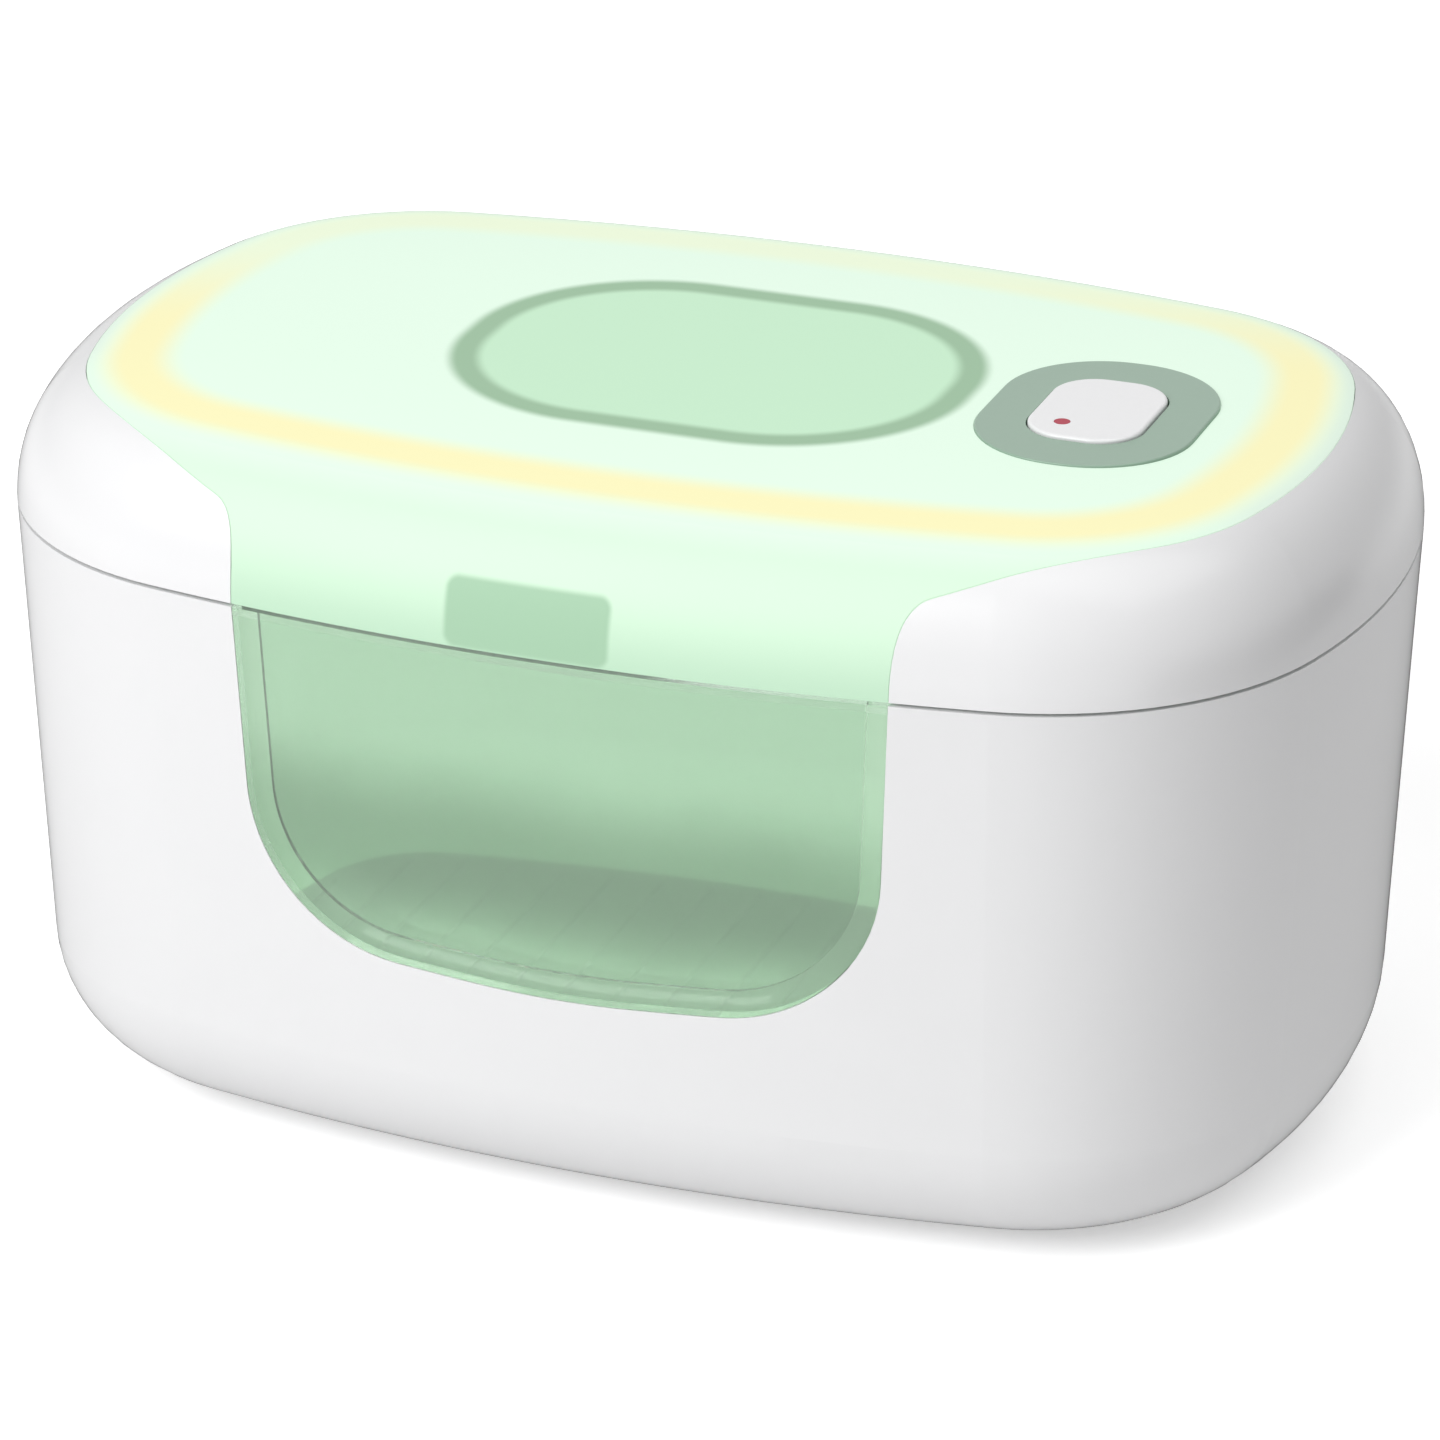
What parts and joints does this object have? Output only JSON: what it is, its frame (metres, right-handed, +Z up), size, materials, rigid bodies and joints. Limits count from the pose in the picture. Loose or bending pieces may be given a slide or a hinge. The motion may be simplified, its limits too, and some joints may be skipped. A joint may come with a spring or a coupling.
{
  "type": "baby wipe warmer",
  "caption": "Rounded tabletop baby wipe warmer with a windowed tub, a hinged warming lid with a clear cover and ring light, and a press button.",
  "frame": {"origin": "middle of the footprint, on the surface that the feet stand on, hinge barrels counted in", "axes": "+Z up, -Y to the front with the window, +X to the right hand with the power button"},
  "size_m": [0.23, 0.1538, 0.1243],
  "materials": {
    "white_shell": "gloss moulded",
    "mint_cover": "frosted clear, semi-gloss",
    "green_clear": "clear, gloss",
    "tub_green": "moulded, satin",
    "green_ring": "matt",
    "housing_green": "moulded, satin",
    "bezel_grey": "satin",
    "button_grey": "satin",
    "lens_red": "clear red",
    "liner_white": "moulded, satin",
    "seal_silicone": "silicone, matt",
    "pad_grey": "soft, matt",
    "foam": "closed-cell foam",
    "feet_rubber": "matt",
    "steel": "bright",
    "aluminium": "anodised",
    "heater_amber": "polyimide film",
    "guide_milk": "milky diffuser",
    "board_white": "solder mask",
    "board_green": "solder mask",
    "chip_black": "moulded",
    "plunger_black": "moulded",
    "lamp_warm": "phosphor",
    "fuse_white": "ceramic",
    "lead_sleeve": "insulated lead"
  },
  "bodies": {
    "base": {"outer_case": "white_shell", "window_pane": "green_clear", "window_seal": "seal_silicone", "inner_tub": "tub_green", "catch_keeper": "steel", "insulation_sleeve": "foam", "floor_pad": "pad_grey", "rubber_feet": "feet_rubber", "hinge_pins": "steel"},
    "lid": {"lid_shell": "white_shell", "top_cover": "mint_cover", "oval_ring": "green_ring", "heater_housing": "housing_green", "heater_plate": "aluminium", "heater_film": "heater_amber", "heater_foam": "foam", "temperature_sensor": "chip_black", "thermal_fuse": "fuse_white", "light_guide": "guide_milk", "led_board": "board_white", "led_chips": "lamp_warm", "control_board": "board_green", "controller_chip": "chip_black", "tact_switch": "chip_black", "status_led": "lens_red", "control_bezel": "bezel_grey", "lid_liner": "liner_white", "liner_screws": "steel", "lid_seal": "seal_silicone", "catch_plate": "housing_green", "catch_magnet": "steel", "power_inlet": "steel", "inlet_tongue": "chip_black", "inlet_board": "board_green", "power_leads": "lead_sleeve", "heater_leads": "lead_sleeve", "light_leads": "lead_sleeve"},
    "power_button": {"power_button": "button_grey", "status_lens": "lens_red", "switch_plunger": "plunger_black"}
  },
  "joints": [
    {"name": "lid_hinge", "type": "hinge", "parent": "base", "child": "lid", "pos_m": [0, 0.0738, 0.1002], "axis": [-1, 0, 0], "range_deg": [0, 100]},
    {"name": "button_press", "type": "slide", "parent": "lid", "child": "power_button", "axis": [0, 0, -1], "range_m": [0, 0.0005], "stiffness_N_per_m": 2000}
  ]
}
